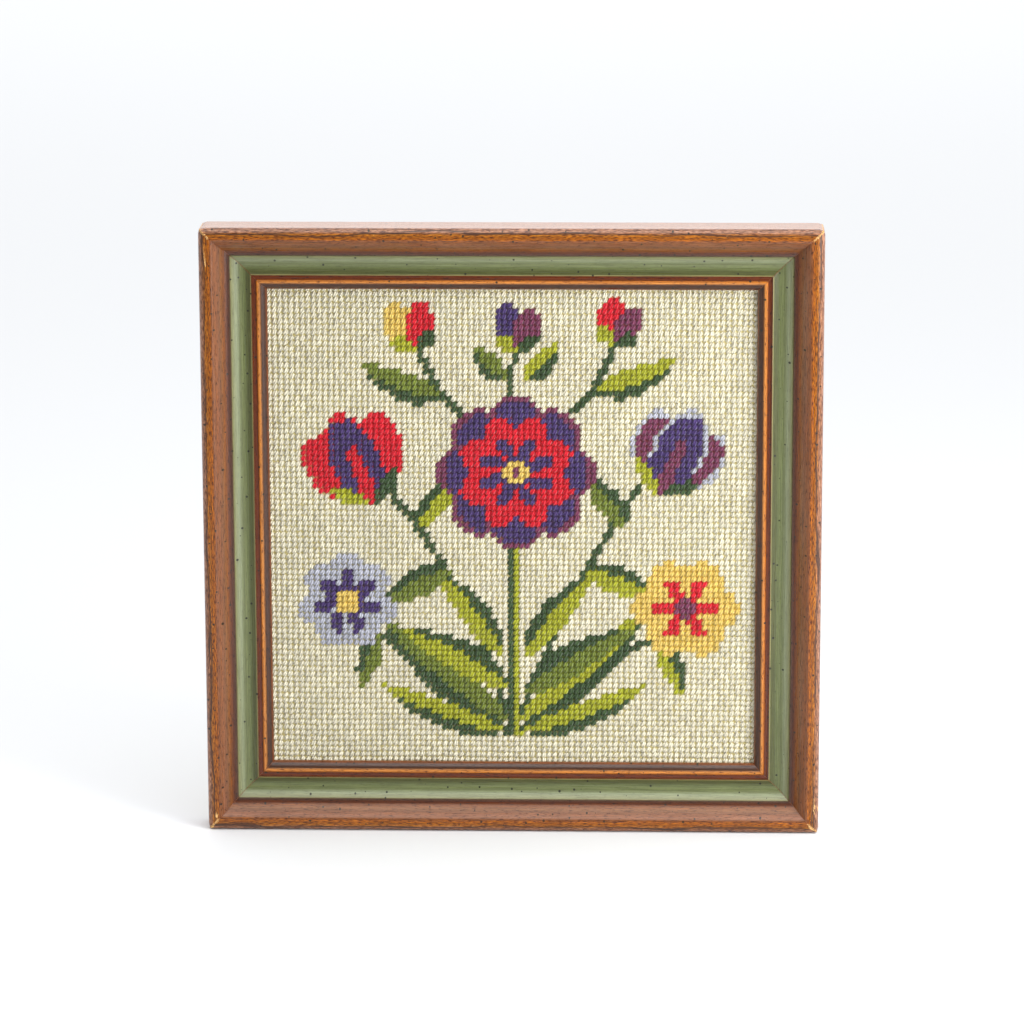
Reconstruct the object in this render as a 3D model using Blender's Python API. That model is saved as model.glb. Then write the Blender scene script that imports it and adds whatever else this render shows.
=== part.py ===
"""Needlepoint canvas panel in its mitred wooden picture frame.

Units are metres and +Z is up. The stitched face looks along -Y, the frame stands on the flat
underside of its bottom rail at z = 0, and the origin is under the middle of the frame.
A place on the moulding is given by its inset, measured in from the outer edge of the frame,
and by its drop, measured back from the crest, which is the frame's foremost line.
"""

import math

import bmesh
import bpy
from mathutils import Vector

# Driving dimensions of the frame
FRAME_SIDE = 0.281
FRAME_DEPTH = 0.01905
CLEARANCE = 0.0003

# Outer shoulder, crest and the stained ogee that falls to the painted cove
SHOULDER_INSET = 0.0034
SHOULDER_DROP = 0.0034
CREST_WIDTH = 0.0021
OGEE_END_INSET = 0.0133
OGEE_END_DROP = 0.0070
OGEE_SKEW = 0.8

# Painted cove, a hollow between two small steps
COVE_START_INSET = 0.0134
COVE_START_DROP = 0.0074
COVE_END_INSET = 0.0230
COVE_END_DROP = 0.0098
COVE_SAG = 0.0016

# Stained lip with its bead, down to the sight edge
QUIRK_DROP = 0.0107
BEAD_CENTRE_INSET = 0.0260
BEAD_RADIUS = 0.00105
BEAD_RISE = 0.0006
SLOPE_START_INSET = 0.0271
SIGHT_INSET = 0.0297
SIGHT_DROP = 0.0130
LEDGE_DROP = 0.0146
SLOPE_BULGE = 0.0004

# Rabbet behind the lip, where the canvas lies
RABBET_WIDTH = 0.0060

# Canvas and its stitches
CANVAS_PITCH = 0.00254
STITCH_COUNT = 88
PANEL_THICKNESS = 0.0030
MARGIN_THICKNESS = 0.0010
MARGIN_TO_RABBET = 0.0005

# How finely the curved stretches are drawn
SHOULDER_STEPS = 8
OGEE_STEPS = 12
COVE_STEPS = 10
BEAD_STEPS = 8
SLOPE_STEPS = 5

# Finishes: colour, roughness
STAINED_WOOD = ("stained_wood", (0.32, 0.13, 0.05), 0.45)
GREEN_PAINT = ("green_paint", (0.20, 0.24, 0.11), 0.55)
CREAM_WOOL = ("cream_wool", (0.66, 0.60, 0.42), 0.95)


def clear_scene():
    """Empties the file of the objects that it opened with."""
    for old in list(bpy.data.objects):
        bpy.data.objects.remove(old, do_unlink=True)


def make_material(name, colour, roughness):
    """A plain finish of one colour."""
    material = bpy.data.materials.new(name)
    material.use_nodes = True
    shader = material.node_tree.nodes["Principled BSDF"]
    shader.inputs["Base Color"].default_value = (*colour, 1.0)
    shader.inputs["Roughness"].default_value = roughness
    shader.inputs["Metallic"].default_value = 0.0
    return material


def shoulder_points():
    """A quarter round from the outer side face to the crest."""
    points = []
    for step in range(SHOULDER_STEPS + 1):
        angle = math.pi / 2 * step / SHOULDER_STEPS
        inset = SHOULDER_INSET * (1 - math.cos(angle))
        drop = SHOULDER_DROP * (1 - math.sin(angle))
        points.append((inset, drop))
    return points


def ogee_points():
    """The S-shaped fall from the crest to the step above the cove, steeper near the crest."""
    start = SHOULDER_INSET + CREST_WIDTH
    points = []
    for step in range(OGEE_STEPS + 1):
        along = step / OGEE_STEPS
        inset = start + (OGEE_END_INSET - start) * along
        drop = OGEE_END_DROP * (1 - math.cos(math.pi * along**OGEE_SKEW)) / 2
        points.append((inset, drop))
    return points


def cove_points():
    """The painted hollow, sagging back from the straight line between its two edges."""
    points = []
    for step in range(COVE_STEPS + 1):
        along = step / COVE_STEPS
        inset = COVE_START_INSET + (COVE_END_INSET - COVE_START_INSET) * along
        chord = COVE_START_DROP + (COVE_END_DROP - COVE_START_DROP) * along
        points.append((inset, chord + COVE_SAG * math.sin(math.pi * along)))
    return points


def bead_points():
    """The half-round bead that stands up from the quirk."""
    points = []
    for step in range(BEAD_STEPS + 1):
        angle = math.pi * step / BEAD_STEPS
        inset = BEAD_CENTRE_INSET - BEAD_RADIUS * math.cos(angle)
        points.append((inset, QUIRK_DROP - BEAD_RISE * math.sin(angle)))
    return points


def slope_points():
    """The slightly rounded slope from the bead to the sight edge."""
    points = []
    for step in range(1, SLOPE_STEPS + 1):
        along = step / SLOPE_STEPS
        inset = SLOPE_START_INSET + (SIGHT_INSET - SLOPE_START_INSET) * along
        chord = QUIRK_DROP + (SIGHT_DROP - QUIRK_DROP) * along
        points.append((inset, chord - SLOPE_BULGE * math.sin(math.pi * along)))
    return points


def moulding_outline():
    """The whole cross-section of the moulding as (inset, drop) pairs, in order round it."""
    rabbet_inset = SIGHT_INSET - RABBET_WIDTH
    outline = [(0.0, FRAME_DEPTH)]
    outline += shoulder_points()
    outline += ogee_points()
    outline += cove_points()
    outline += [(COVE_END_INSET, QUIRK_DROP)]
    outline += bead_points()
    outline += slope_points()
    outline += [(SIGHT_INSET, LEDGE_DROP), (rabbet_inset, LEDGE_DROP)]
    outline += [(rabbet_inset, FRAME_DEPTH)]
    return outline


def make_rail(name, quarter_turns, stain, paint):
    """One length of moulding, mitred at both ends. It is drawn as the bottom rail about the
    centre of the frame, and turned about that centre to its own side."""
    half_side = FRAME_SIDE / 2
    mitre_cut = CLEARANCE / 2 * math.sqrt(2)
    mesh = bpy.data.meshes.new(name)
    shape = bmesh.new()
    outline = moulding_outline()
    left_end = [
        shape.verts.new((-half_side + inset + mitre_cut, drop - FRAME_DEPTH / 2, inset - half_side))
        for inset, drop in outline
    ]
    end_face = shape.faces.new(left_end)
    grown = bmesh.ops.extrude_face_region(shape, geom=[end_face])
    for vertex in (item for item in grown["geom"] if isinstance(item, bmesh.types.BMVert)):
        vertex.co.x = -vertex.co.x
    bmesh.ops.recalc_face_normals(shape, faces=shape.faces)
    for face in shape.faces:
        inset = face.calc_center_median().z + half_side
        front = face.normal.y < 0
        face.material_index = int(front and COVE_START_INSET < inset < COVE_END_INSET)
    caps = [face for face in shape.faces if len(face.verts) == len(outline)]
    bmesh.ops.triangulate(shape, faces=caps, ngon_method="EAR_CLIP")
    shape.to_mesh(mesh)
    shape.free()
    mesh.materials.append(stain)
    mesh.materials.append(paint)
    rail = bpy.data.objects.new(name, mesh)
    rail.location = (0.0, 0.0, half_side)
    rail.rotation_euler = (0.0, -quarter_turns * math.pi / 2, 0.0)
    bpy.context.scene.collection.objects.link(rail)
    return rail


def raise_field(shape, direction, margin, height):
    """Insets the broad face that looks along direction and lifts it by height."""
    shape.faces.ensure_lookup_table()
    broad = max(shape.faces, key=lambda face: face.normal.dot(direction) * face.calc_area())
    bmesh.ops.inset_region(shape, faces=[broad], thickness=margin, use_even_offset=True)
    grown = bmesh.ops.extrude_face_region(shape, geom=[broad])
    moved = [item for item in grown["geom"] if isinstance(item, bmesh.types.BMVert)]
    bmesh.ops.delete(shape, geom=[broad], context="FACES_ONLY")
    bmesh.ops.translate(shape, verts=moved, vec=direction * height)


def make_panel(name, wool):
    """The worked canvas: a stitched field with a thinner bare margin that lies under the lip."""
    opening = FRAME_SIDE - 2 * SIGHT_INSET
    canvas_side = opening + 2 * (RABBET_WIDTH - MARGIN_TO_RABBET)
    field_side = STITCH_COUNT * CANVAS_PITCH
    stitch_height = (PANEL_THICKNESS - MARGIN_THICKNESS) / 2
    mesh = bpy.data.meshes.new(name)
    shape = bmesh.new()
    bmesh.ops.create_cube(shape, size=1.0)
    bmesh.ops.scale(shape, vec=(canvas_side, MARGIN_THICKNESS, canvas_side), verts=shape.verts)
    for direction in (Vector((0.0, -1.0, 0.0)), Vector((0.0, 1.0, 0.0))):
        raise_field(shape, direction, (canvas_side - field_side) / 2, stitch_height)
    bmesh.ops.recalc_face_normals(shape, faces=shape.faces)
    shape.to_mesh(mesh)
    shape.free()
    mesh.materials.append(wool)
    panel = bpy.data.objects.new(name, mesh)
    front = LEDGE_DROP + CLEARANCE
    panel.location = (0.0, front + PANEL_THICKNESS / 2 - FRAME_DEPTH / 2, FRAME_SIDE / 2)
    bpy.context.scene.collection.objects.link(panel)
    return panel


def build():
    """The four rails and the panel that they hold."""
    clear_scene()
    stain = make_material(*STAINED_WOOD)
    paint = make_material(*GREEN_PAINT)
    rails = ("bottom_rail", "right_rail", "top_rail", "left_rail")
    for quarter_turns, name in enumerate(rails):
        make_rail(name, quarter_turns, stain, paint)
    make_panel("needlepoint_panel", make_material(*CREAM_WOOL))


build()
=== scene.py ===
# %% [markdown]
# # A needlepoint picture in its frame
# The real thing is a square of canvas worked all over in wool tent stitch, held behind the lip of a
# mitred wooden frame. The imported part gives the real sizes: every piece below is placed from it.

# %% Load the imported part
import math

import bpy
import numpy as np
from mathutils import Matrix, Vector, noise


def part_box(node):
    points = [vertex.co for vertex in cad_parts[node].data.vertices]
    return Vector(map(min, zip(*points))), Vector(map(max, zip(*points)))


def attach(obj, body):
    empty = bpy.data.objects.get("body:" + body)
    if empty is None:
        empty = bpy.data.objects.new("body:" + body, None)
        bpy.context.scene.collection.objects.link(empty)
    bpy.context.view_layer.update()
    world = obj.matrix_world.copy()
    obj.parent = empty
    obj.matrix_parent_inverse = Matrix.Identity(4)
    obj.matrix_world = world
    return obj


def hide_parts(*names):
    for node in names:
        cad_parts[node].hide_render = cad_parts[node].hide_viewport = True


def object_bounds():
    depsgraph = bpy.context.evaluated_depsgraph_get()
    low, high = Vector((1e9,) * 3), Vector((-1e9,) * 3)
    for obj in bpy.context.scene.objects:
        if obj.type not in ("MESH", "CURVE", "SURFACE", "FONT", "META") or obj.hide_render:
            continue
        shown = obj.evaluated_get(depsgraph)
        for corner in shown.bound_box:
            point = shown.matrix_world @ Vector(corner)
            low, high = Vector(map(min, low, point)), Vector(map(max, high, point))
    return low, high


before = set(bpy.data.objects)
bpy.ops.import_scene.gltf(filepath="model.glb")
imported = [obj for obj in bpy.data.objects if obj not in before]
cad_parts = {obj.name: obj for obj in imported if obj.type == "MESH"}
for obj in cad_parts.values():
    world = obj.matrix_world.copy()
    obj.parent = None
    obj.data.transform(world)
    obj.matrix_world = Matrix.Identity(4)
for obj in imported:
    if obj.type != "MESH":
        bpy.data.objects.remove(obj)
cad_low, cad_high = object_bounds()
SIDE = cad_high.x - cad_low.x
HALF = SIDE / 2
FRONT = cad_low.y
BACK = cad_high.y
CENTRE = Vector((0.0, 0.0, HALF))
print(f"frame {SIDE * 1000:.1f} mm square, {(BACK - FRONT) * 1000:.2f} mm deep")

# %% [markdown]
# ## Hand tools
# Operators act on whatever is selected, so each step first empties the selection and then picks
# one piece, or some of its faces or edges, by where they are.

# %% Pick one piece, or parts of it
def take(piece):
    """Leaves one piece selected and active, in object mode."""
    if bpy.context.mode != "OBJECT":
        bpy.ops.object.mode_set(mode="OBJECT")
    bpy.ops.object.select_all(action="DESELECT")
    bpy.context.view_layer.objects.active = piece
    piece.select_set(True)


def edit(piece, kind, wanted):
    """Opens a piece in edit mode with only the wanted vertices, edges or faces selected."""
    take(piece)
    bpy.ops.object.mode_set(mode="EDIT")
    bpy.ops.mesh.select_mode(type=kind)
    bpy.ops.mesh.select_all(action="DESELECT")
    bpy.ops.object.mode_set(mode="OBJECT")
    mesh = piece.data
    parts = {"VERT": mesh.vertices, "EDGE": mesh.edges, "FACE": mesh.polygons}[kind]
    for part in parts:
        part.select = wanted(part)
    bpy.ops.object.mode_set(mode="EDIT")


def name_piece(name):
    """Names the object that an operator has just added, and its mesh."""
    piece = bpy.context.object
    piece.name = name
    piece.data.name = name
    return piece


def points_of(piece):
    """The places of a mesh's vertices as an array with a row for each."""
    places = np.empty(len(piece.data.vertices) * 3, np.float32)
    piece.data.vertices.foreach_get("co", places)
    return places.reshape(-1, 3).astype(float)


def put_points(piece, places):
    """Moves a mesh's vertices to new places."""
    piece.data.vertices.foreach_set("co", places.astype(np.float32).ravel())
    piece.data.update()


def note(piece, name, kind, values):
    """Writes a value for each vertex, which a finish can read by name."""
    attribute = piece.data.attributes.new(name, kind, "POINT")
    field = "vector" if kind == "FLOAT_VECTOR" else "value"
    attribute.data.foreach_set(field, np.asarray(values, np.float32).ravel())


# %% [markdown]
# ## The moulding's cross-section
# A spindle cutter shaped the real moulding in one pass. Its section is drawn as places
# (inset from the outer edge, drop behind the crest): a rounded shoulder, the crest, an S-shaped
# fall, a painted hollow, a narrow quirk, a bead, and the slope to the sight edge.

# %% Draw the section
SHOULDER = 0.0034
CREST_END = 0.0055
OGEE_END, OGEE_DROP, OGEE_SKEW = 0.0133, 0.0070, 0.8
COVE_START, COVE_START_DROP = 0.0134, 0.0074
COVE_END, COVE_END_DROP, COVE_SAG = 0.0230, 0.0098, 0.0021
QUIRK_DROP = 0.0107
BEAD_MIDDLE, BEAD_RADIUS, BEAD_RISE = 0.0260, 0.00105, 0.0006
SLOPE_START, SLOPE_BULGE = 0.0271, 0.0004
SIGHT = 0.0297
SIGHT_DROP, LEDGE_DROP = 0.0130, 0.0146
RABBET = 0.0060
DEPTH = BACK - FRONT
SIDE_DIVIDE = 0.6
CREST_SHARES = (0.25, 0.5, 0.75)
SHOULDER_STEPS, OGEE_STEPS, COVE_STEPS, BEAD_STEPS, SLOPE_STEPS = 9, 11, 10, 8, 5


def shares(steps, first=0):
    """Even shares from 0 to 1, or from the first step on."""
    return [step / steps for step in range(first, steps + 1)]


def shoulder_line(share):
    """The quarter round from the side face to the crest."""
    turn = math.pi / 2 * share
    return SHOULDER * (1 - math.cos(turn)), SHOULDER * (1 - math.sin(turn))


def ogee_line(share):
    """The S-shaped fall from the crest."""
    drop = OGEE_DROP * (1 - math.cos(math.pi * share**OGEE_SKEW)) / 2
    return CREST_END + (OGEE_END - CREST_END) * share, drop


def cove_line(share):
    """The painted hollow."""
    chord = COVE_START_DROP + (COVE_END_DROP - COVE_START_DROP) * share
    return COVE_START + (COVE_END - COVE_START) * share, chord + COVE_SAG * math.sin(math.pi * share)


def bead_line(share):
    """The half-round bead beyond the quirk."""
    turn = math.pi * share
    return BEAD_MIDDLE - BEAD_RADIUS * math.cos(turn), QUIRK_DROP - BEAD_RISE * math.sin(turn)


def slope_line(share):
    """The slope from the bead to the sight edge."""
    chord = QUIRK_DROP + (SIGHT_DROP - QUIRK_DROP) * share
    return SLOPE_START + (SIGHT - SLOPE_START) * share, chord - SLOPE_BULGE * math.sin(math.pi * share)


section = [(0.0, DEPTH), (0.0, DEPTH * SIDE_DIVIDE)]
section += [shoulder_line(share) for share in shares(SHOULDER_STEPS)]
section += [(SHOULDER + (CREST_END - SHOULDER) * share, 0.0) for share in CREST_SHARES]
section += [ogee_line(share) for share in shares(OGEE_STEPS)]
section += [cove_line(share) for share in shares(COVE_STEPS)]
section += [(COVE_END, QUIRK_DROP)]
section += [bead_line(share) for share in shares(BEAD_STEPS)]
section += [slope_line(share) for share in shares(SLOPE_STEPS, 1)]
section += [(SIGHT, LEDGE_DROP), (SIGHT - RABBET, LEDGE_DROP), (SIGHT - RABBET, DEPTH)]
section += [((SIGHT - RABBET) / 2, DEPTH)]
print(f"the section has {len(section)} points")

# %% [markdown]
# ## One rail, cut as a joiner cuts it
# The section starts as a disc with one corner for each point, and each corner is moved to its
# point. The disc is extruded to a long stick, and two cuts at 45 degrees make the mitres. An array
# of loose pieces would leave seams, so the stick stays one closed shape.

# %% Run, mitre and divide the moulding
CUTS = 220
HAIRLINE = 0.00003


def run_moulding(name):
    """The bottom rail about the frame's centre, mitred, and divided along its length."""
    bpy.ops.object.select_all(action="DESELECT")
    bpy.ops.mesh.primitive_circle_add(vertices=len(section), radius=SIGHT, fill_type="NGON")
    stick = name_piece(name)
    for corner, (inset, drop) in zip(stick.data.vertices, section):
        corner.co = (-HALF, FRONT + drop, inset - HALF)
    edit(stick, "FACE", lambda face: True)
    bpy.ops.mesh.extrude_region_move(TRANSFORM_OT_translate={"value": (SIDE, 0.0, 0.0)})
    for way in (-1, 1):
        bpy.ops.mesh.select_all(action="SELECT")
        corner = (way * (HALF - HAIRLINE), 0.0, -HALF)
        bpy.ops.mesh.bisect(plane_co=corner, plane_no=(way, 0.0, 1.0), use_fill=True, clear_outer=True)
    bpy.ops.mesh.select_all(action="SELECT")
    bpy.ops.mesh.normals_make_consistent(inside=False)
    bpy.ops.object.mode_set(mode="OBJECT")
    ends = [corner.co.x > 0 for corner in stick.data.vertices]
    edit(stick, "EDGE", lambda edge: ends[edge.vertices[0]] != ends[edge.vertices[1]])
    bpy.ops.mesh.subdivide(number_cuts=CUTS)
    bpy.ops.object.mode_set(mode="OBJECT")
    return stick


stick = run_moulding("moulding_stick")
print(f"one rail has {len(stick.data.polygons)} faces")

# %% [markdown]
# ## Wear
# A frame that has been handled for years: the crest is rubbed unevenly, and a few knocks go through
# to the pale wood, most of them near the corners. Each worn spot is listed by its place. The mesh
# sinks a little there and each vertex notes how worn it is, so that the finish can flake there too.

# %% Rub and nick each rail
RUB_DEPTH = 0.00016
RUB_MIDDLE, RUB_REACH = 0.0028, 0.0024
RUB_ALONG, RUB_ACROSS = 90, 400
NICK_DEPTH = 0.00012
CORNER_ROUND = 0.0022
EDGE_MARGIN, LEDGE_MARGIN = 0.00005, 0.0005
WORN_SPOTS = (
    # rail, place along it from its middle, inset, half length and half width in mm
    (0, -139.4, 1.0, 1.4, 0.5), (0, 137.4, 2.8, 1.5, 0.8),
    (0, 123.0, 2.4, 1.6, 0.3), (0, -18.0, 2.6, 1.6, 0.3),
    (1, -127.5, 2.0, 7.0, 0.35), (1, -129.2, 0.4, 1.3, 0.3),
    (1, 130.8, 3.2, 1.2, 0.35), (1, 36.0, 3.6, 1.3, 0.3),
    (2, 62.0, 2.6, 1.6, 0.3), (2, -96.0, 3.0, 1.3, 0.25),
    (3, -130.5, 2.8, 1.7, 0.45), (3, -127.2, 3.1, 1.4, 0.55),
    (3, -124.0, 3.5, 1.2, 0.3), (3, 133.5, 4.0, 1.3, 0.8))


def round_corners(along, inset):
    """Draws in the points outside a small circle at each outer corner of the frame."""
    to_end = HALF - abs(along)
    out_end, out_side = CORNER_ROUND - to_end, CORNER_ROUND - inset
    away = np.hypot(out_end, out_side)
    outside = (out_end > 0) & (out_side > 0) & (away > CORNER_ROUND)
    shrink = np.where(outside, CORNER_ROUND / np.maximum(away, 1e-9), 1.0)
    new_end = np.where(outside, CORNER_ROUND - out_end * shrink, to_end)
    new_inset = np.where(outside, CORNER_ROUND - out_side * shrink, inset)
    return np.sign(along) * (HALF - new_end), new_inset


def wear_rail(rail, number):
    """Rubs the crest of a rail that still lies as the bottom rail, and notes its wear."""
    places = points_of(rail)
    along, inset, drop = places[:, 0].copy(), places[:, 2] + HALF, places[:, 1] - FRONT
    places[:, 0], rounded = round_corners(along, inset)
    places[:, 2] = rounded - HALF
    on_front = (drop < LEDGE_DROP - LEDGE_MARGIN) & (inset > EDGE_MARGIN)
    near_crest = np.exp(-(((inset - RUB_MIDDLE) / RUB_REACH) ** 2)) * on_front
    waves = zip(along * RUB_ALONG, inset * RUB_ACROSS)
    rub = [noise.noise(Vector((wave, ripple, 7.0 * number))) for wave, ripple in waves]
    sink = RUB_DEPTH * near_crest * np.clip(0.3 + np.array(rub), 0, 1)
    worn = np.zeros(len(places))
    for spot_rail, middle, edge, length, width in WORN_SPOTS:
        if spot_rail == number:
            away = ((along * 1000 - middle) / length) ** 2 + ((inset * 1000 - edge) / width) ** 2
            worn = np.maximum(worn, np.exp(-away) * on_front)
    places[:, 1] += sink + NICK_DEPTH * worn
    put_points(rail, places)
    to_mitre = (HALF - inset - abs(along)) / math.sqrt(2)
    note(rail, "moulding", "FLOAT_VECTOR", np.stack([to_mitre, inset, drop], 1))
    note(rail, "run", "FLOAT_VECTOR", np.stack([along + 0.4 * number, inset, drop], 1))
    note(rail, "worn", "FLOAT", worn)


# %% [markdown]
# ## Four rails
# Each rail is a copy of the stick with its own mesh and its own wear, turned about the middle of
# the frame. The turn is applied, so that every piece keeps its object at the origin.

# %% Copy and turn the rails
SIDES = ("bottom_rail", "right_rail", "top_rail", "left_rail")
SMOOTH_ANGLE = math.radians(38)


def make_rail(node, number):
    """One finished rail in place of its solid."""
    take(stick)
    bpy.ops.object.duplicate()
    rail = name_piece("moulding_" + node.split("_")[0])
    wear_rail(rail, number)
    turn = Matrix.Rotation(-number * math.pi / 2, 4, "Y")
    rail.matrix_world = Matrix.Translation(CENTRE) @ turn
    bpy.ops.object.transform_apply(location=True, rotation=True, scale=True)
    bpy.ops.object.shade_smooth_by_angle(angle=SMOOTH_ANGLE)
    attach(rail, "root")
    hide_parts(node)
    return rail


rails = [make_rail(node, number) for number, node in enumerate(SIDES)]
bpy.data.objects.remove(stick)
print("rails", [rail.name for rail in rails])

# %% [markdown]
# ## The canvas
# Penelope canvas has pairs of threads, 2.54 mm from hole to hole. Under the stitches hardly any of
# it shows, so there its squares stay closed. In the bare margin, behind the lip, the holes are open:
# the margin's squares are inset one by one, and their middles are deleted.

# %% Weave the canvas
PITCH = 0.00254
COUNT = 88
MARGIN_CELLS = 2
panel_low, panel_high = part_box("needlepoint_panel")
panel_middle = (panel_low.y + panel_high.y) / 2
canvas_side = panel_high.x - panel_low.x
CANVAS_THICKNESS = 0.0009
THREAD_HALF = PITCH * 0.27
FIELD = COUNT * PITCH


def weave_canvas():
    """A flat sheet with a stitched field in the middle and open mesh round it."""
    cells = COUNT + 2 * MARGIN_CELLS
    bpy.ops.object.select_all(action="DESELECT")
    bpy.ops.mesh.primitive_grid_add(
        x_subdivisions=cells, y_subdivisions=cells, size=canvas_side,
        location=(0.0, panel_middle, HALF), rotation=(math.pi / 2, 0.0, 0.0))
    canvas = name_piece("canvas_ground")
    bpy.ops.object.transform_apply(location=True, rotation=True, scale=True)
    reach = FIELD / 2 - PITCH / 4
    edit(canvas, "FACE", lambda face: max(abs(face.center.x), abs(face.center.z - HALF)) > reach)
    bpy.ops.mesh.inset(thickness=THREAD_HALF, use_individual=True, use_boundary=True)
    bpy.ops.mesh.delete(type="FACE")
    bpy.ops.object.mode_set(mode="OBJECT")
    wall = canvas.modifiers.new("Thickness", "SOLIDIFY")
    wall.thickness = CANVAS_THICKNESS
    wall.offset = 0.0
    bpy.ops.object.modifier_apply(modifier=wall.name)
    return canvas


canvas = weave_canvas()
print(f"canvas {canvas_side * 1000:.1f} mm square, {len(canvas.data.polygons)} faces")

# %% [markdown]
# ## The chart
# A needlepoint design is a chart with one wool for each stitch. This one is a sampler spray: an
# open flower in the middle, a tulip and a daisy on each side, three buds above and long leaves
# below. It is worked out from petals, leaves and stems, as a designer would block it on graph paper.

# %% Petals, leaves and stems
columns, rows = np.meshgrid(np.arange(COUNT) + 0.5, np.arange(COUNT) + 0.5)
chart = np.full((COUNT, COUNT), "cream", dtype=object)
PETAL_ROUND, LEAF_ROUND = 0.6, 0.8
EDGE_STITCHES, TIP_STITCHES, EDGE_FROM = 1.0, 1.6, 0.35
VEIN_TIP, VEIN_GROWTH, VEIN_TO = 0.7, 0.9, 0.62
SEPAL_WIDTH = 2.6


def around(base, angle):
    """Each stitch's distance along and across a line that leaves base at an angle in degrees."""
    turn = math.radians(angle)
    right, up = columns - base[0], rows - base[1]
    along = right * math.cos(turn) + up * math.sin(turn)
    across = up * math.cos(turn) - right * math.sin(turn)
    return along, across


def work_petal(base, angle, length, width, wool, edge=None, vein=None, fullness=1.5):
    """A petal that is widest past its middle, with an edge and a vein in other wools."""
    along, across = around(base, angle)
    share = np.clip(along / length, 0, 1)
    half = width / 2 * np.sin(np.pi * share**fullness) ** PETAL_ROUND
    inside = (along > 0) & (along < length) & (abs(across) <= half)
    chart[inside] = wool
    if edge:
        rim = (abs(across) > half - EDGE_STITCHES) | (along > length - TIP_STITCHES)
        chart[inside & rim & (share > EDGE_FROM)] = edge
    if vein:
        vein_half = VEIN_TIP + VEIN_GROWTH * (1 - share)
        chart[inside & (abs(across) < vein_half) & (share < VEIN_TO)] = vein


def work_leaf(base, angle, length, width, bend, light, dark):
    """A leaf that curves to one side, its two halves in two greens."""
    along, across = around(base, angle)
    share = np.clip(along / length, 0, 1)
    across = across - bend * length * share**2
    half = width / 2 * np.sin(np.pi * share**LEAF_ROUND) ** LEAF_ROUND
    inside = (along > 0) & (along < length) & (abs(across) <= half)
    chart[inside] = light
    chart[inside & (across * np.sign(bend) < -0.1 * width)] = dark


def work_stem(start, middle, end, wool):
    """A stem along a smooth curve through three points."""
    for step in np.linspace(0, 1, 4 * COUNT):
        weights = ((1 - step) ** 2, 2 * step * (1 - step), step**2)
        column = sum(weight * point[0] for weight, point in zip(weights, (start, middle, end)))
        row = sum(weight * point[1] for weight, point in zip(weights, (start, middle, end)))
        chart[int(row), int(column)] = wool


def work_disc(centre, radius, wool):
    """A round heart."""
    chart[(columns - centre[0]) ** 2 + (rows - centre[1]) ** 2 <= radius**2] = wool


def work_ring(centre, petals, first, length, width, wool, edge, vein):
    """A ring of petals round a point."""
    for number in range(petals):
        work_petal(centre, first + 360 * number / petals, length, width, wool, edge, vein)


def work_tulip(base, angle, length, width, outer, inner, edge):
    """A cup of three petals seen from the side, over two small sepals."""
    for lean in (24, -24):
        work_petal(base, angle + lean, length * 0.94, width * 0.62, outer, edge, None, 1.2)
    work_petal(base, angle, length, width * 0.66, inner, edge, outer, 1.1)
    work_petal(base, angle + 52, length * 0.45, SEPAL_WIDTH, "lime")
    work_petal(base, angle - 52, length * 0.45, SEPAL_WIDTH, "forest")


def work_bud(base, angle, length, wool, shadow):
    """A closed bud, lit on one side and shaded on the other, in two sepals."""
    work_petal(base, angle + 14, length, length * 0.62, wool, None, None, 1.1)
    work_petal(base, angle - 20, length * 0.92, length * 0.5, shadow, None, None, 1.1)
    work_petal(base, angle + 50, length * 0.5, SEPAL_WIDTH, "lime")
    work_petal(base, angle - 50, length * 0.5, SEPAL_WIDTH, "forest")


# %% [markdown]
# ## The spray
# Places are counted in stitches from the lower left corner, and angles in degrees from the right.
# The stems come first, so that leaves and petals cover them where they meet.

# %% Block out the spray
ROOT = (44, 5)
for start, middle, end in (
    (ROOT, (42, 26), (44, 48)),
    (ROOT, (36, 34), (22, 50)),
    (ROOT, (53, 32), (67, 52)),
    (ROOT, (30, 18), (15, 27)),
    (ROOT, (58, 18), (74, 26)),
    ((44, 66), (42, 71), (45, 76)),
    ((43, 60), (30, 66), (27, 77)),
    ((45, 60), (60, 66), (62, 78)),
):
    work_stem(start, middle, end, "forest")
work_stem((45, 5), (43, 26), (45, 48), "lime")

leaves = (
    # base, angle, length, width, bend
    ((43, 8), 152, 30, 6.5, -0.22), ((45, 8), 30, 31, 6.5, 0.22),
    ((43, 14), 140, 22, 6.0, 0.20), ((46, 13), 42, 23, 6.0, -0.20),
    ((42, 20), 118, 20, 5.2, 0.16), ((46, 20), 60, 20, 5.2, -0.16),
    ((33, 36), 196, 15, 5.4, 0.20), ((57, 36), -12, 15, 5.4, -0.20),
    ((27, 44), 62, 12, 4.8, -0.20), ((64, 44), 116, 12, 4.8, 0.20),
    ((42, 6), 170, 24, 4.8, -0.20), ((46, 6), 10, 24, 4.8, 0.20),
    ((31, 68), 172, 15, 5.4, -0.25), ((59, 69), 8, 15, 5.4, 0.25),
    ((46, 71), 36, 9, 4.2, 0.20), ((43, 71), 146, 9, 4.2, -0.20),
    ((20, 26), 118, 9, 3.8, 0.20), ((68, 25), 56, 9, 3.8, -0.20),
    ((20, 24), 238, 11, 4.2, 0.20), ((70, 23), -56, 11, 4.2, -0.20),
)
for number, (base, angle, length, width, bend) in enumerate(leaves):
    light = "lime" if number % 3 else "olive"
    work_leaf(base, angle, length, width, bend, light, "forest")

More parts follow.
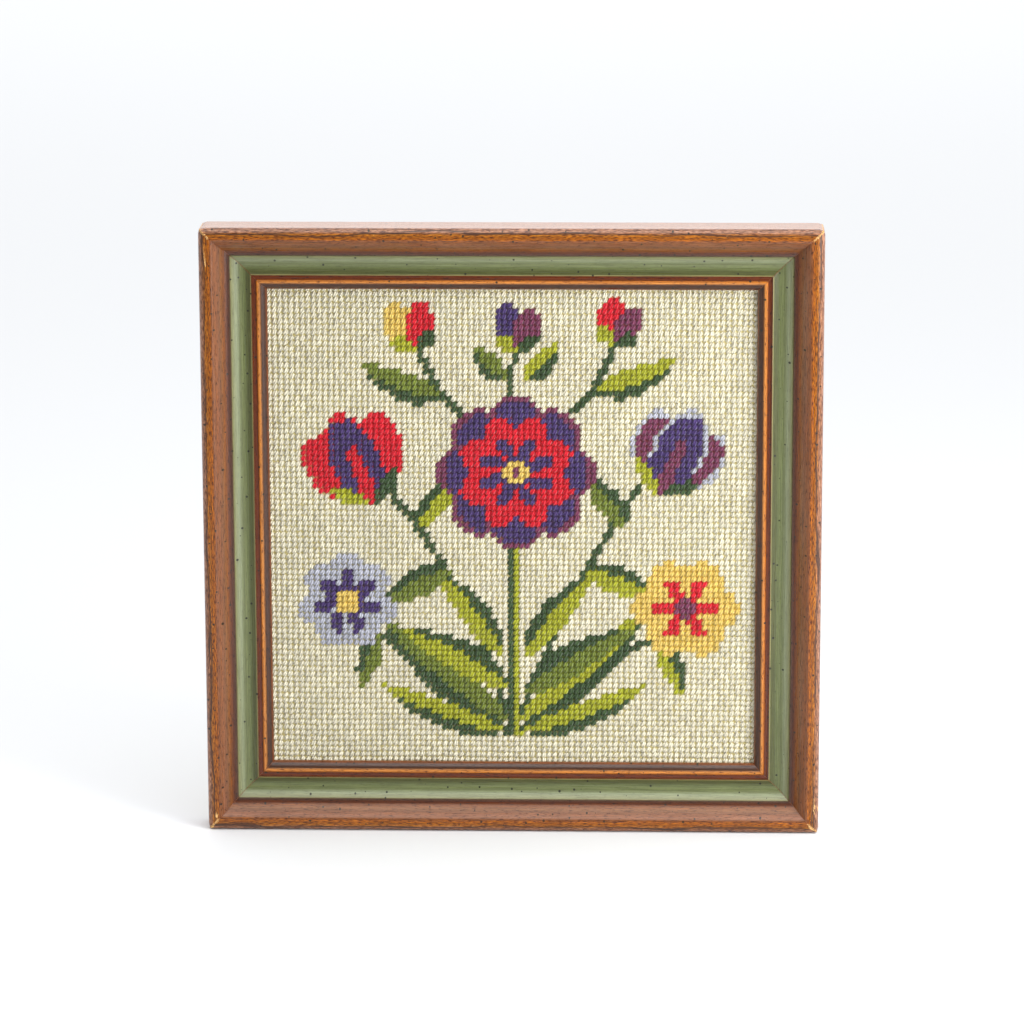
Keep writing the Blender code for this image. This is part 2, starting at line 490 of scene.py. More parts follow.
HEART = (44.5, 54)
work_ring(HEART, 8, 90, 14.5, 10.5, "violet", "plum", None)
work_ring(HEART, 8, 112.5, 10.8, 6.4, "red", None, "violet")
work_disc(HEART, 2.2, "gold")
work_disc(HEART, 1.0, "plum")
work_tulip((19, 48), 112, 18, 16, "red", "violet", "red")
work_tulip((70, 50), 66, 17, 15, "plum", "violet", "lilac")
work_ring((14, 30), 7, 90, 9.2, 6.2, "lilac", None, "violet")
work_disc((14, 30), 2.2, "gold")
work_ring((75, 29), 6, 60, 9.6, 7.6, "gold", None, "red")
work_disc((75, 29), 1.6, "plum")
work_bud((45, 76), 92, 9.5, "violet", "plum")
work_bud((27, 76), 106, 10, "gold", "red")
work_bud((62, 77), 78, 9, "red", "plum")
print("stitches", {wool: int((chart == wool).sum()) for wool in sorted(set(chart.ravel()))})

# %% [markdown]
# ## One stitch
# A tent stitch is a short, plump length of wool that comes up through one hole and goes down
# through the next one diagonally. It starts as a six-sided rod, is divided along its length, and
# each ring is then widened, flattened and lifted one by one, so that both ends dive into the canvas.

# %% Shape the stitch
def shape_stitch(name, sides, rings):
    """A rod along X, a unit long and wide. Each ring is (share of width, of thickness, lift)."""
    bpy.ops.object.select_all(action="DESELECT")
    bpy.ops.mesh.primitive_cylinder_add(
        vertices=sides, radius=0.5, depth=1.0, end_fill_type="NGON", rotation=(0.0, math.pi / 2, 0.0))
    rod = name_piece(name)
    bpy.ops.object.transform_apply(location=True, rotation=True, scale=True)
    ends = [corner.co.x > 0 for corner in rod.data.vertices]
    edit(rod, "EDGE", lambda edge: ends[edge.vertices[0]] != ends[edge.vertices[1]])
    bpy.ops.mesh.subdivide(number_cuts=len(rings) - 2)
    bpy.ops.object.mode_set(mode="OBJECT")
    for number, (width, thickness, lift) in enumerate(rings):
        place = number / (len(rings) - 1) - 0.5
        edit(rod, "VERT", lambda corner: abs(corner.co.x - place) < 0.01)
        bpy.ops.transform.resize(value=(1.0, thickness, width), center_override=(place, 0.0, 0.0))
        bpy.ops.transform.translate(value=(0.0, -lift, 0.0))
        bpy.ops.object.mode_set(mode="OBJECT")
    edit(rod, "FACE", lambda face: True)
    bpy.ops.mesh.normals_make_consistent(inside=False)
    bpy.ops.object.mode_set(mode="OBJECT")
    return rod


front_rings = (
    # share of the width, share of the thickness, lift
    (0.60, 0.60, -0.46), (0.86, 0.84, 0.00), (0.97, 0.96, 0.26), (1.0, 1.0, 0.34),
    (0.97, 0.96, 0.26), (0.86, 0.84, 0.00), (0.60, 0.60, -0.46))
back_rings = ((0.4, 0.4, -0.35), (0.9, 0.9, 0.1), (0.95, 0.95, 0.15), (0.4, 0.4, -0.35))
front_stitch = shape_stitch("tent_stitch", 6, front_rings)
back_stitch = shape_stitch("back_stitch", 4, back_rings)
print(f"a stitch has {len(front_stitch.data.polygons)} faces")

# %% [markdown]
# ## Working the canvas
# Thousands of stitches would be slow as objects, so all stitches of one wool are joined into one
# mesh. All lean to the right, as in tent stitch. Each gets its own small turn, plumpness and
# place, because wool and hands are uneven, and the whole canvas is pulled a little out of square.

# %% Repeat the stitch over the chart
STITCH_SIZE = (0.00315, 0.00240, 0.00145)
STITCH_SLANT, STITCH_SPREAD = math.radians(44), math.radians(6)
UNEVEN = 0.06
WANDER = 0.00010
PULL, PULL_WAVES = 0.00035, 0.055
ACROSS_SEED, UP_SEED = 3.1, 8.7


def pulled(values, seed):
    """How far the canvas is pulled out of place at each stitch, in metres."""
    return np.array([
        PULL * noise.noise(Vector((c * PULL_WAVES, r * PULL_WAVES, seed))) for c, r in values])


def lay_stitches(name, pattern, cells, facing, slant, size, chance, spread):
    """Repeats the pattern stitch at each (column, row) cell, on the front (1) or the back (-1)."""
    shape = points_of(pattern)
    cells = np.asarray(cells, float)
    total = len(cells)
    turn = slant + chance.normal(0, spread, total)
    length, width, thickness = size
    grow = 1 + chance.normal(0, UNEVEN, (total, 3))
    x = shape[None, :, 0] * length * grow[:, :1]
    y = shape[None, :, 1] * thickness * grow[:, 1:2]
    z = shape[None, :, 2] * width * grow[:, 2:3]
    jitter = chance.normal(0, WANDER, (total, 2))
    across = (cells[:, 0] - COUNT / 2) * PITCH + pulled(cells, ACROSS_SEED) + jitter[:, 0]
    up = (cells[:, 1] - COUNT / 2) * PITCH + pulled(cells, UP_SEED) + jitter[:, 1] + HALF
    cos, sin = np.cos(turn)[:, None], np.sin(turn)[:, None]
    deep = panel_middle - facing * CANVAS_THICKNESS / 2
    places = np.stack([
        across[:, None] + x * cos - z * sin, deep + facing * y, up[:, None] + x * sin + z * cos], 2)
    corners = [tuple(face.vertices) for face in pattern.data.polygons]
    if facing < 0:
        corners = [tuple(reversed(face)) for face in corners]
    count = len(shape)
    faces = [[number * count + corner for corner in face] for number in range(total) for face in corners]
    mesh = bpy.data.meshes.new(name)
    mesh.from_pydata(places.reshape(-1, 3).tolist(), [], faces)
    work = bpy.data.objects.new(name, mesh)
    bpy.context.scene.collection.objects.link(work)
    mesh.shade_smooth()
    tone = np.repeat(chance.random(total), count)
    note(work, "strand", "FLOAT_VECTOR", np.stack([x.ravel() / length, z.ravel() / width, tone], 1))
    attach(work, "root")
    return work


chance = np.random.default_rng(2026)
BANDS = 3
work = {}
for wool in sorted(set(chart.ravel())):
    cells = [(column + 0.5, row + 0.5) for row, column in np.argwhere(chart == wool)]
    split = BANDS if wool == "cream" else 1
    for number in range(split):
        low, high = COUNT * number / split, COUNT * (number + 1) / split
        part = [cell for cell in cells if low <= cell[1] < high]
        name = f"{wool}_wool" + (f"_{number + 1}" if split > 1 else "")
        work[name] = lay_stitches(
            name, front_stitch, part, 1, STITCH_SLANT, STITCH_SIZE, chance, STITCH_SPREAD)
print("pieces of wool", len(work))

# %% [markdown]
# ## The wrong side
# Behind, every tent stitch leaves a longer slant. They are worked as two meshes of simple rods,
# the lower and the upper half, and each vertex notes the colour of its wool.

# %% Lay the back of the stitches
WOOLS = {
    "cream": (0.90, 0.845, 0.65), "red": (0.80, 0.012, 0.030), "violet": (0.088, 0.050, 0.200),
    "plum": (0.25, 0.055, 0.125), "lilac": (0.59, 0.60, 0.69), "gold": (0.92, 0.66, 0.16),
    "lime": (0.50, 0.52, 0.030), "olive": (0.22, 0.28, 0.040), "forest": (0.062, 0.115, 0.042)}
BACK_SIZE = (0.0046, 0.0021, 0.0011)
BACK_SLANT, BACK_SPREAD = math.radians(32), math.radians(7)
every = [(column + 0.5, row + 0.5) for row in range(COUNT) for column in range(COUNT)]
half_of = {"back_wool_1": every[: len(every) // 2], "back_wool_2": every[len(every) // 2:]}
backs = {
    name: lay_stitches(name, back_stitch, cells, -1, BACK_SLANT, BACK_SIZE, chance, BACK_SPREAD)
    for name, cells in half_of.items()}


def note_dye(piece, cells, times):
    """Notes the colour of the wool at each cell, once for each of its vertices."""
    colours = np.array([WOOLS[chart[int(row), int(column)]] for column, row in cells])
    note(piece, "dye", "FLOAT_VECTOR", np.repeat(colours, times, axis=0))


def nearest_cell(x, z):
    """The cell of the chart nearest to a place on the canvas."""
    column, row = (place / PITCH + COUNT / 2 - 0.5 for place in (x, z - HALF))
    return min(max(column, 0), COUNT - 1), min(max(row, 0), COUNT - 1)


for name, piece in backs.items():
    note_dye(piece, half_of[name], len(back_stitch.data.vertices))
for pattern in (front_stitch, back_stitch):
    bpy.data.objects.remove(pattern)
# The canvas notes the wool above each place, for the painted shade under the stitches.
note_dye(canvas, [nearest_cell(x, z) for x, _, z in points_of(canvas)], 1)
print("back of the stitches", list(backs))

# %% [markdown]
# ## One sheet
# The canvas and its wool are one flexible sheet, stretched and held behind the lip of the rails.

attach(canvas, "root")
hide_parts("needlepoint_panel")

# %% [markdown]
# ## Finishes
# A finish is a small network of nodes. These helpers add a node, do a sum, stretch a range, blend
# two colours and read what a vertex notes, so that each finish reads as a list of what is seen.

# %% Node helpers
def new_finish(name, roughness):
    """A new finish with its Principled shader."""
    finish = bpy.data.materials.new(name)
    finish.use_nodes = True
    shader = finish.node_tree.nodes["Principled BSDF"]
    shader.inputs["Roughness"].default_value = roughness
    return finish, finish.node_tree, shader


def add(tree, kind, settings=None, **inputs):
    """Adds a node; an input takes a number or another node's output."""
    made = tree.nodes.new(kind)
    for name, value in (settings or {}).items():
        setattr(made, name, value)
    for name, value in inputs.items():
        socket = made.inputs[int(name[1:]) if name[0] == "i" and name[1:].isdigit() else name]
        if isinstance(value, bpy.types.NodeSocket):
            tree.links.new(value, socket)
        else:
            socket.default_value = value
    return made


def sums(tree, operation, a, b=0.0, clamp=False):
    """One sum on two numbers or outputs."""
    return add(tree, "ShaderNodeMath", {"operation": operation, "use_clamp": clamp}, i0=a, i1=b).outputs[0]


def times(tree, a, b):
    """One number or output times another."""
    return sums(tree, "MULTIPLY", a, b)


def spread_over(tree, value, low, high, to_low=0.0, to_high=1.0):
    """Stretches the range low to high of a value over another range, and clamps it."""
    made = add(tree, "ShaderNodeMapRange", None, i0=value, i1=low, i2=high, i3=to_low, i4=to_high)
    return made.outputs[0]


def blend(tree, share, a, b, way="MIX"):
    """Blends colour b over colour a by a share."""
    made = add(tree, "ShaderNodeMix", {"data_type": "RGBA", "blend_type": way}, i0=share, i6=a, i7=b)
    return made.outputs[2]


def grey(tree, value):
    """A grey as bright as a value."""
    return add(tree, "ShaderNodeCombineXYZ", None, X=value, Y=value, Z=value).outputs[0]


def noted(tree, name):
    """What each vertex of the piece notes under a name."""
    return add(tree, "ShaderNodeAttribute", {"attribute_name": name})


def speckle(tree, where, scale, detail=3.0, roughness=0.5):
    """Soft noise over a place."""
    return add(tree, "ShaderNodeTexNoise", None, Vector=where, Scale=scale, Detail=detail,
               Roughness=roughness).outputs["Fac"]


def bump(tree, shader, height, distance, strength=1.0):
    """Raises the surface a little where height is high."""
    made = add(tree, "ShaderNodeBump", None, Height=height, Distance=distance, Strength=strength)
    tree.links.new(made.outputs["Normal"], shader.inputs["Normal"])


def linear(red, green, blue):
    """A colour picked on screen, from 0 to 255, as the light it sends back."""
    def channel(value):
        share = value / 255
        return share / 12.92 if share <= 0.04045 else ((share + 0.055) / 1.055) ** 2.4
    return (channel(red), channel(green), channel(blue), 1.0)


# %% [markdown]
# ## Wool
# Tapestry wool is matt, with a soft sheen where fibres stand out. Its plies twist round each
# other, which shows as slanted grooves on every stitch, darkened with painted shade that is paler
# in a pale wool. The twist starts at another place on each stitch, and each length takes the dye a
# little differently.

# %% Mix the wools
PLY_ALONG, PLY_ACROSS, PLY_SHIFT = -6.6, 13.2, 6.0
DEEP_GROOVE_SHADE, PALE_GROOVE_SHADE, MIXED_GROOVE_SHADE = 0.48, 0.24, 0.60
FIBRE_SCALE, PATCH_SCALE = 2600.0, 45.0
WOOL_RELIEF = 0.00024
SHEEN, SHEEN_ROUGHNESS, WOOL_SPECULAR = 0.18, 0.5, 0.25


def finish_wool(name, colour=None):
    """Wool of one colour, or of the colour that each vertex notes."""
    finish, tree, shader = new_finish(name, 0.92)
    strand = noted(tree, "strand").outputs["Vector"]
    parts = add(tree, "ShaderNodeSeparateXYZ", None, Vector=strand)
    x, z, tone = parts.outputs
    slant = sums(tree, "ADD", times(tree, x, PLY_ALONG), times(tree, z, PLY_ACROSS))
    ply = sums(tree, "SINE", sums(tree, "ADD", slant, times(tree, tone, PLY_SHIFT)))
    where = add(tree, "ShaderNodeTexCoord").outputs["Object"]
    fibre = speckle(tree, where, FIBRE_SCALE, 4.0, 0.65)
    patch = speckle(tree, where, PATCH_SCALE, 2.0)
    dye = noted(tree, "dye").outputs["Vector"] if colour is None else (*colour, 1.0)
    shade = spread_over(tree, tone, 0.0, 1.0, 0.86, 1.10)
    # the grooves between the plies get painted shade, less of it on a pale wool
    groove_shade = MIXED_GROOVE_SHADE if colour is None else DEEP_GROOVE_SHADE + PALE_GROOVE_SHADE * max(colour)
    shade = times(tree, shade, spread_over(tree, ply, -1.0, 0.1, groove_shade, 1.0))
    shade = times(tree, shade, spread_over(tree, fibre, 0.3, 0.7, 0.90, 1.08))
    shade = times(tree, shade, spread_over(tree, patch, 0.3, 0.7, 0.95, 1.04))
    tree.links.new(blend(tree, 1.0, dye, grey(tree, shade), "MULTIPLY"), shader.inputs["Base Color"])
    height = sums(tree, "ADD", ply, times(tree, fibre, 0.8))
    bump(tree, shader, height, WOOL_RELIEF)
    shader.inputs["Sheen Weight"].default_value = SHEEN
    shader.inputs["Sheen Roughness"].default_value = SHEEN_ROUGHNESS
    shader.inputs["Specular IOR Level"].default_value = WOOL_SPECULAR
    return finish


for name, piece in work.items():
    wool = name.split("_")[0]
    label = f"{wool}_wool_finish"
    finish = bpy.data.materials.get(label) or finish_wool(label, WOOLS[wool])
    piece.data.materials.append(finish)
mixed_finish = finish_wool("mixed_wool_finish")
for piece in backs.values():
    piece.data.materials.append(mixed_finish)
print("wool finishes", len({piece.data.materials[0].name for piece in work.values()}) + 1)

# %% [markdown]
# ## Canvas threads
# Cotton canvas is stiff with size, and tan in the bare margin. Under the stitches it is painted
# with shade: a darker tone of the colour of the wool above it.

# %% Size the canvas
THREAD_GAP_SHADE, THREAD_LIGHT = linear(92, 78, 54), linear(170, 150, 112)
UNDER_WOOL_SHADE = (0.66, 0.60, 0.36, 1.0)
THREAD_RELIEF = 0.0002


def finish_canvas():
    """Stiff tan cotton threads in pairs, with painted shade between them and under the stitches."""
    finish, tree, shader = new_finish("canvas_finish", 0.9)
    where = add(tree, "ShaderNodeTexCoord").outputs["Object"]
    parts = add(tree, "ShaderNodeSeparateXYZ", None, Vector=where)
    x, _, z = parts.outputs
    threads = [sums(tree, "SINE", times(tree, side, 4 * math.pi / PITCH)) for side in (x, z)]
    height = sums(tree, "MAXIMUM", *threads)
    # the gaps between the threads get painted shade
    colour = blend(tree, spread_over(tree, height, -1.0, 1.0), THREAD_GAP_SHADE, THREAD_LIGHT)
    off_middle = sums(tree, "ABSOLUTE", sums(tree, "SUBTRACT", z, HALF))
    reach = sums(tree, "MAXIMUM", sums(tree, "ABSOLUTE", x), off_middle)
    worked = sums(tree, "LESS_THAN", reach, FIELD / 2)
    # under the stitches: painted shade, a darker tone of the wool above
    under_shade = blend(tree, 1.0, noted(tree, "dye").outputs["Vector"], UNDER_WOOL_SHADE, "MULTIPLY")
    colour = blend(tree, worked, colour, under_shade)
    tree.links.new(colour, shader.inputs["Base Color"])
    bump(tree, shader, height, THREAD_RELIEF)
    return finish


canvas.data.materials.append(finish_canvas())

# %% [markdown]
# ## Stain, paint and painted highlights
# The frame was stained brown, its hollow painted green and its crest rubbed back to an orange
# tone. One colour ramp across the moulding gives these bands, and also paints in highlights: a
# pinkish sheen on the fall, a pale sheen where the hollow starts and a bright line along the bead.
# A little noise added to the place makes them wander on the ogee, while the paint keeps its crisp edges.

# %% Lay the bands
MOULDING_BANDS_AND_HIGHLIGHTS = (
    # inset in mm, then the colour of the finish, or of a painted highlight
    (0.0, (147, 99, 72)), (1.0, (148, 100, 69)), (2.0, (137, 85, 50)), (2.7, (157, 90, 17)),
    (4.0, (136, 72, 7)), (4.9, (157, 83, 8)), (5.5, (121, 67, 30)), (6.5, (127, 76, 41)),
    # 7.6 and 8.8 mm: a pinkish painted sheen on the fall
    (7.6, (139, 89, 61)), (8.8, (125, 85, 62)), (9.6, (131, 86, 52)), (10.5, (124, 69, 22)),
    (12.0, (80, 35, 10)), (13.2, (76, 50, 36)), (13.5, (88, 68, 50)), (13.8, (124, 124, 84)),
    # 15.8 mm: a pale painted sheen where the hollow starts
    (15.8, (131, 138, 106)), (17.2, (104, 111, 73)), (17.6, (97, 104, 65)), (18.3, (106, 113, 72)),
    (19.5, (97, 105, 64)), (21.0, (79, 83, 45)), (22.3, (78, 81, 42)), (22.7, (140, 135, 86)),
    (23.0, (110, 63, 25)), (23.2, (96, 38, 3)), (24.9, (94, 38, 3)), (25.3, (170, 96, 20)),
    # 26.2 mm: a painted highlight along the top of the bead
    (26.2, (198, 126, 56)), (27.2, (66, 37, 19)), (28.9, (68, 42, 29)), (29.5, (120, 66, 34)))
BAND_STREAKS = (0.0050, 0.0010)
DRIFT_FROM, DRIFT_TO = 0.0060, 0.0118
DRIFT_MOST, DRIFT_LEAST = 0.0022, 0.0002


def streaks(tree, size, detail=2.0, roughness=0.5):
    """Noise in streaks along the grain, of a length and a width."""
    length, width = size
    run = noted(tree, "run").outputs["Vector"]
    scale = (1 / length, 1 / width, 1 / width)
    place = add(tree, "ShaderNodeVectorMath", {"operation": "MULTIPLY"}, i0=run, i1=scale).outputs[0]
    return speckle(tree, place, 1.0, detail, roughness)


def lay_bands(tree, inset):
    """The colour at each inset, from a ramp across the moulding."""
    drift = sums(tree, "SUBTRACT", streaks(tree, BAND_STREAKS, 3.0, 0.6), 0.5)
    reach = spread_over(tree, inset, DRIFT_FROM, DRIFT_TO, DRIFT_MOST, DRIFT_LEAST)
    moved = sums(tree, "ADD", inset, times(tree, drift, reach))
    ramp = add(tree, "ShaderNodeValToRGB", None, Fac=sums(tree, "DIVIDE", moved, SIGHT, True))
    points = ramp.color_ramp.elements
    while len(points) < len(MOULDING_BANDS_AND_HIGHLIGHTS):
        points.new(0.5)
    for point, (millimetres, colour) in zip(points, MOULDING_BANDS_AND_HIGHLIGHTS):
        point.position = millimetres / 1000 / SIGHT
        point.color = linear(*colour)
    return ramp.outputs["Color"]


# %% [markdown]
# ## Grain
# Pores are short dark streaks, a little denser on the crest, where rubbing has also left pale ones.
# Longer streaks lighten and darken the wood, and hardly show through the paint. Fine streaks run
# over everything.

# %% Streak the wood
PORES, FINE_GRAIN, LONG_GRAIN = (0.0023, 0.00033), (0.0130, 0.00034), (0.030, 0.00060)
PORE_TINT = (0.92, (0.26, 0.20, 0.30, 1.0))
RUBBED_TINT = (0.75, (1.45, 1.80, 2.5, 1.0))
PALE_TINT = (0.30, (1.45, 1.50, 1.6, 1.0))
SHADE_TINT = (0.45, (0.60, 0.55, 0.60, 1.0))
PAINT_COVER = 0.72
CREST_FADE = (0.0064, 0.0052)
SIDE_FADE = (0.0046, 0.0036)


def tint(tree, colour, where, strength, by):
    """Multiplies a colour by another where a mask says so, as strongly as wanted."""
    return blend(tree, times(tree, where, strength), colour, by, "MULTIPLY")


def streak_wood(tree, colour, inset, drop, grain):
    """The bands with pores and grain over them, and where the pores are."""
    pores = streaks(tree, PORES)
    past_start = sums(tree, "GREATER_THAN", inset, COVE_START)
    in_cove = times(tree, past_start, sums(tree, "LESS_THAN", inset, COVE_END))
    on_wood = sums(tree, "SUBTRACT", 1.0, times(tree, in_cove, PAINT_COVER))
    on_crest = times(tree, spread_over(tree, inset, *CREST_FADE), spread_over(tree, drop, *SIDE_FADE))
    open_grain = sums(tree, "ADD", pores, times(tree, on_crest, 0.06))
    dark = times(tree, spread_over(tree, open_grain, 0.59, 0.63), on_wood)
    colour = tint(tree, colour, dark, *PORE_TINT)
    rubbed = times(tree, spread_over(tree, pores, 0.46, 0.40), on_crest)
    colour = tint(tree, colour, rubbed, *RUBBED_TINT)
    pale = times(tree, spread_over(tree, grain, 0.46, 0.34), on_wood)
    colour = tint(tree, colour, pale, *PALE_TINT)
    shade = times(tree, spread_over(tree, grain, 0.52, 0.68), on_wood)
    colour = tint(tree, colour, shade, *SHADE_TINT)
    fine = spread_over(tree, streaks(tree, FINE_GRAIN), 0.34, 0.66, 0.62, 1.36)
    fine_share = spread_over(tree, on_crest, 0.0, 1.0, 0.5, 0.9)
    return blend(tree, fine_share, colour, grey(tree, fine), "MULTIPLY"), dark


# %% [markdown]
# ## Glaze and specks
# A thin dark line of glaze sways along the crest, broken by the grain, and flies have left round
# specks. Both stay on the front of the moulding, just inside its outer edge.

# %% Draw the glaze line and the specks
GLAZE_STREAKS, GLAZE_SWAY = (0.045, 0.0060), 0.0060
GLAZE_INSET, GLAZE_OUTSIDE, GLAZE_INSIDE = 0.0024, 0.00050, 0.00020
GLAZE_COLOUR, GLAZE_STRENGTH = linear(58, 36, 28), 0.85
SPECK_CELLS = 140.0
SPECK_LOT = 0.25
SPECK_SMALL, SPECK_LARGE, SPECK_BLUR = 0.028, 0.085, 0.012
SPECK_COLOUR, SPECK_STRENGTH = linear(28, 28, 22), 0.92


def glaze_crest(tree, colour, inset, grain):
    """The finish so far, with its dark line."""
    sway = sums(tree, "SUBTRACT", streaks(tree, GLAZE_STREAKS), 0.5)
    swayed = sums(tree, "ADD", inset, times(tree, sway, GLAZE_SWAY))
    off_line = sums(tree, "ABSOLUTE", sums(tree, "SUBTRACT", swayed, GLAZE_INSET))
    line = spread_over(tree, off_line, GLAZE_OUTSIDE, GLAZE_INSIDE)
    glaze = times(tree, line, spread_over(tree, grain, 0.36, 0.44))
    glaze = times(tree, glaze, spread_over(tree, inset, 0.0003, 0.0008))
    return blend(tree, times(tree, glaze, GLAZE_STRENGTH), colour, GLAZE_COLOUR)


def speck_front(tree, colour, inset):
    """The finish so far with a speck in most cells of a pattern, and where the specks are."""
    run = noted(tree, "run").outputs["Vector"]
    fly_place = add(tree, "ShaderNodeVectorMath", {"operation": "SCALE"}, i0=run, Scale=SPECK_CELLS)
    cells = add(tree, "ShaderNodeTexVoronoi", {"voronoi_dimensions": "2D"},
                Vector=fly_place.outputs[0], Scale=1.0)
    lot = add(tree, "ShaderNodeSeparateColor", None, Color=cells.outputs["Color"]).outputs[0]
    size = spread_over(tree, lot, SPECK_LOT, 1.0, SPECK_SMALL, SPECK_LARGE)
    edge = sums(tree, "SUBTRACT", size, cells.outputs["Distance"])
    chosen = sums(tree, "GREATER_THAN", lot, SPECK_LOT)
    speck = times(tree, spread_over(tree, edge, 0.0, SPECK_BLUR), chosen)
    speck = times(tree, speck, spread_over(tree, inset, 0.0002, 0.0004))
    return blend(tree, times(tree, speck, SPECK_STRENGTH), colour, SPECK_COLOUR), speck


# %% [markdown]
# ## Bare wood
# Pale wood shows in the nicks, at the corners of the crest and in a few chips. A fine line marks
# each mitre, and behind the lip the wood was never stained.

# %% Bare the wood
CHIPS = (0.0016, 0.00032)
BARE_COLOUR = linear(236, 188, 118)
JOINT_COLOUR, JOINT_STRENGTH = linear(120, 62, 26), 0.65
RAW_PALE, RAW_DARK = linear(214, 184, 140), linear(160, 124, 84)


def bare_wood(tree, colour, place, grain):
    """The whole finish, and where its wood is bare or raw."""
    to_mitre, inset, drop = place
    near_mitre = spread_over(tree, to_mitre, 0.0010, 0.0001)
    at_corner = times(tree, near_mitre, spread_over(tree, inset, 0.0062, 0.0045))
    worn = noted(tree, "worn").outputs["Fac"]
    bare_share = sums(tree, "ADD", streaks(tree, CHIPS, 3.0, 0.6), times(tree, worn, 0.55))
    bare_share = sums(tree, "ADD", bare_share, times(tree, at_corner, 0.42))
    bare = spread_over(tree, bare_share, 0.80, 0.86)
    colour = blend(tree, bare, colour, BARE_COLOUR)
    joint = spread_over(tree, to_mitre, 0.00020, 0.00012)
    colour = blend(tree, times(tree, joint, JOINT_STRENGTH), colour, JOINT_COLOUR)
    past_ledge = sums(tree, "GREATER_THAN", drop, LEDGE_DROP - 0.0003)
    behind = times(tree, past_ledge, sums(tree, "GREATER_THAN", inset, 0.0004))
    colour = blend(tree, behind, colour, blend(tree, grain, RAW_PALE, RAW_DARK))
    return colour, sums(tree, "MAXIMUM", behind, bare)


# %% [markdown]
# ## The moulding's finish
# All of it goes on in order, and each rail gets the same finish. Bare wood is rougher than the
# stain, and the pores and specks dent the surface slightly.

# %% Finish the moulding
STAIN_SPECULAR = 0.42
PORE_DENT, DENT_DEPTH, DENT_STRENGTH = -0.5, 0.00004, 0.5


def finish_moulding():
    """The stained, painted and rubbed finish, from what each vertex notes of its place."""
    finish, tree, shader = new_finish("moulding_finish", 0.42)
    shader.inputs["Specular IOR Level"].default_value = STAIN_SPECULAR
    place = add(tree, "ShaderNodeSeparateXYZ", None, Vector=noted(tree, "moulding").outputs["Vector"])
    _, inset, drop = place.outputs
    grain = streaks(tree, LONG_GRAIN, 3.0, 0.6)
    colour = lay_bands(tree, inset)
    colour, dark = streak_wood(tree, colour, inset, drop, grain)
    colour = glaze_crest(tree, colour, inset, grain)
    colour, speck = speck_front(tree, colour, inset)
    colour, raw = bare_wood(tree, colour, place.outputs, grain)
    tree.links.new(colour, shader.inputs["Base Color"])
    rough = spread_over(tree, grain, 0.3, 0.7, 0.24, 0.34)
    rough = sums(tree, "ADD", rough, times(tree, raw, 0.4))
    tree.links.new(rough, shader.inputs["Roughness"])
    height = sums(tree, "SUBTRACT", times(tree, dark, PORE_DENT), speck)
    bump(tree, shader, height, DENT_DEPTH, DENT_STRENGTH)
    return finish


moulding_finish = finish_moulding()
for rail in rails:
    rail.data.materials.append(moulding_finish)
print("moulding finish", len(moulding_finish.node_tree.nodes), "nodes")

# %% [markdown]
# ## The table
# A white table. It reaches far behind the frame, but only a little to its sides and front, where
# the lamps' light falls off and a wider table would turn grey.

# %% Lay the table
TABLE_REACH = (
    # way, how far from the frame's middle in metres
    ((1, 0, 0), 0.85), ((-1, 0, 0), 0.95), ((0, 1, 0), 5.0), ((0, -1, 0), 0.75))
bpy.ops.object.select_all(action="DESELECT")
bpy.ops.mesh.primitive_plane_add(size=1.0, location=(0.0, 0.0, 0.0))
floor = name_piece("floor")
for direction, reach in TABLE_REACH:
    way = Vector(direction)
    edit(floor, "EDGE", lambda edge: all(floor.data.vertices[v].co.dot(way) > 0.4 for v in edge.vertices))
    bpy.ops.transform.translate(value=way * (reach - 0.5))
    bpy.ops.object.mode_set(mode="OBJECT")
floor_finish, _, floor_shader = new_finish("floor_finish", 0.9)
floor_shader.inputs["Base Color"].default_value = (0.765, 0.78, 0.80, 1.0)
floor_shader.inputs["Specular IOR Level"].default_value = 0.1
floor.data.materials.append(floor_finish)

# %% [markdown]
# ## Room and lamps
# Three soft lamps: a small one close by on the right, which makes the right side of the picture
# brighter and every stitch stand out, one overhead, and one far behind. The room is brighter
# behind and beside the table than behind the camera, so that the stain keeps its depth where it
# faces the camera. What the camera sees past the table stays white.

# %% Light the room
LAMPS = (
    # name, place, aim, size in metres, power in watts
    ("lamp_right", (0.60, -0.52, 0.40), CENTRE, 0.45, 7.0),
    ("lamp_top", (0.1, -0.55, 1.6), CENTRE, 1.0, 11.0),
    ("lamp_back", (0.0, 3.8, 2.5), (0.0, 0.0, 0.28), 2.8, 44.0))
ROOM_IN_FRONT, ROOM_BEHIND = 0.40, 1.15


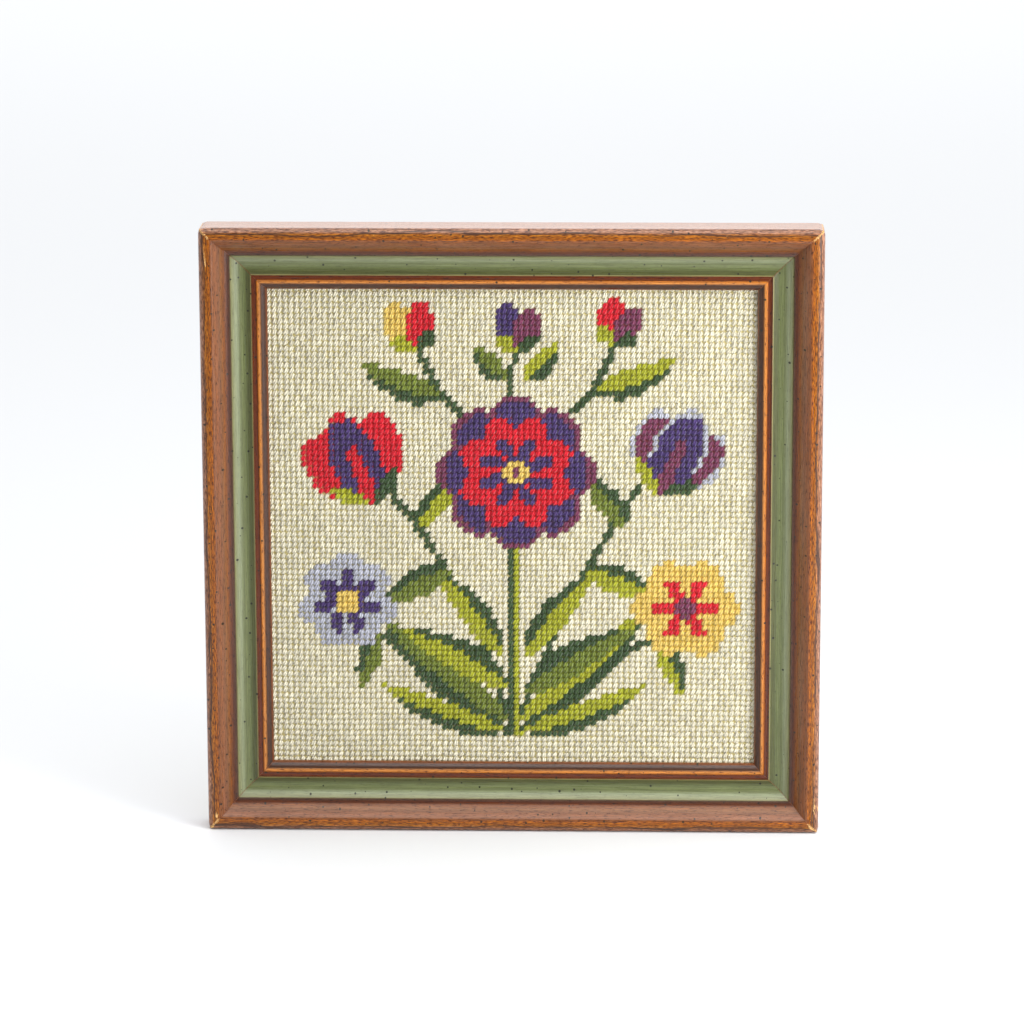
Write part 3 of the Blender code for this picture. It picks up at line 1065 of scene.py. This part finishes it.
def light_room(front, back):
    """A surround that is bright behind and beside the table, and dim behind the camera."""
    world = bpy.data.worlds.new("surround")
    bpy.context.scene.world = world
    world.use_nodes = True
    tree = world.node_tree
    way = add(tree, "ShaderNodeTexCoord").outputs["Generated"]
    ahead = add(tree, "ShaderNodeSeparateXYZ", None, Vector=way).outputs["Y"]
    glow = spread_over(tree, ahead, -0.45, 0.0, front, back)
    seen = add(tree, "ShaderNodeLightPath").outputs["Is Camera Ray"]
    strength = sums(tree, "MAXIMUM", glow, seen)
    tree.links.new(strength, tree.nodes["Background"].inputs["Strength"])
    tree.nodes["Background"].inputs["Color"].default_value = (1.0, 1.0, 1.0, 1.0)


def hang_lamp(name, place, aim, size, power):
    """A square soft lamp that looks at a point."""
    bpy.ops.object.light_add(type="AREA", location=place)
    lamp = bpy.context.object
    lamp.name = name
    lamp.data.size = size
    lamp.data.energy = power
    lamp.rotation_euler = (Vector(aim) - Vector(place)).to_track_quat("-Z", "Y").to_euler()


light_room(ROOM_IN_FRONT, ROOM_BEHIND)
for lamp in LAMPS:
    hang_lamp(*lamp)
print("lamps", [lamp[0] for lamp in LAMPS])

# %% [markdown]
# ## Camera
# A long lens far off, slightly above the frame and to its right, and turned down towards it.

# %% Aim the camera
CAMERA_PLACE = (0.07277, FRONT - 2.06020, 0.63014)
YAW, PITCH_DOWN, ROLL = 2.0177, 13.0758, -0.1855
FOCAL_LENGTH, SENSOR_WIDTH = 164.24, 36.0

bpy.ops.object.camera_add(location=CAMERA_PLACE)
camera = bpy.context.object
camera.name = "camera"
camera.data.lens = FOCAL_LENGTH
camera.data.sensor_width = SENSOR_WIDTH
aim = Matrix.Rotation(math.radians(YAW), 3, "Z")
aim = aim @ Matrix.Rotation(math.radians(90 - PITCH_DOWN), 3, "X")
aim = aim @ Matrix.Rotation(math.radians(ROLL), 3, "Z")
camera.rotation_euler = aim.to_euler()
bpy.context.scene.camera = camera
bpy.context.scene.view_settings.view_transform = "Standard"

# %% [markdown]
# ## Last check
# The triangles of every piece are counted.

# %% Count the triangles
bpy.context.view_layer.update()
pieces = [*rails, canvas, *work.values(), *backs.values()]
triangles = {piece.name: sum(len(face.vertices) - 2 for face in piece.data.polygons) for piece in pieces}
print("triangles", triangles)
print("in all", sum(triangles.values()))
